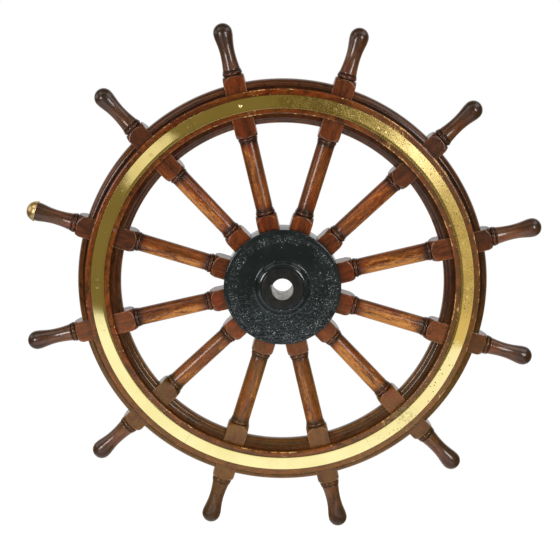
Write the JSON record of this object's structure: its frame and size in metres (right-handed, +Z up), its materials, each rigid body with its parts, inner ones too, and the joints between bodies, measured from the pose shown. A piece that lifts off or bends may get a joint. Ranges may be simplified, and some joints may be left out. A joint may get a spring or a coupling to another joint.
{
  "type": "ship steering wheel",
  "caption": "Large varnished wood ship's steering wheel: turned spokes and handles, moulded rim, inlaid brass strip ring, brass-capped king spoke and black iron hub with a keyed bore.",
  "frame": {"origin": "wheel centre: the point of the bore axis in the middle plane of the spokes and rim", "axes": "+X to the right of a person facing the front, +Z up, +Y along the bore axis towards the rear, so the brass-faced front looks towards -Y; the king spoke points left and slightly up, 163 degrees from +X towards +Z"},
  "size_m": [1.3844, 0.1081, 1.3844],
  "materials": {
    "spoke_wood": "turned hardwood under glossy reddish-brown varnish, worn orange along the shafts",
    "rim_wood": "moulded hardwood under dark glossy varnish",
    "facing_wood": "hardwood facing under reddish-brown varnish, worn at the edges",
    "plug_wood": "end-grain plug, varnished",
    "strip_brass": "polished brass strip with pitting and light tarnish",
    "screw_brass": "screw heads filed flush and polished",
    "cap_brass": "aged polished brass",
    "painted_iron": "rough casting under glossy black paint"
  },
  "bodies": {
    "root": {"spoke_01": "spoke_wood", "spoke_02": "spoke_wood", "spoke_03": "spoke_wood", "spoke_04": "spoke_wood", "spoke_05": "spoke_wood", "king_spoke": "spoke_wood", "spoke_07": "spoke_wood", "spoke_08": "spoke_wood", "spoke_09": "spoke_wood", "spoke_10": "spoke_wood", "spoke_11": "spoke_wood", "spoke_12": "spoke_wood", "felloe_01": "rim_wood", "felloe_02": "rim_wood", "felloe_03": "rim_wood", "felloe_04": "rim_wood", "felloe_05": "rim_wood", "felloe_06": "rim_wood", "felloe_07": "rim_wood", "felloe_08": "rim_wood", "felloe_09": "rim_wood", "felloe_10": "rim_wood", "felloe_11": "rim_wood", "felloe_12": "rim_wood", "front_facing_1": "facing_wood", "front_facing_2": "facing_wood", "front_facing_3": "facing_wood", "front_facing_4": "facing_wood", "front_facing_5": "facing_wood", "front_facing_6": "facing_wood", "rear_facing_1": "facing_wood", "rear_facing_2": "facing_wood", "rear_facing_3": "facing_wood", "rear_facing_4": "facing_wood", "rear_facing_5": "facing_wood", "rear_facing_6": "facing_wood", "facing_plugs": "plug_wood", "brass_strip_1": "strip_brass", "brass_strip_2": "strip_brass", "brass_strip_3": "strip_brass", "brass_strip_4": "strip_brass", "brass_strip_5": "strip_brass", "brass_strip_6": "strip_brass", "brass_strip_screws": "screw_brass", "king_spoke_cap": "cap_brass", "hub_casting": "painted_iron", "hub_front_plate": "painted_iron"}
  },
  "joints": []
}
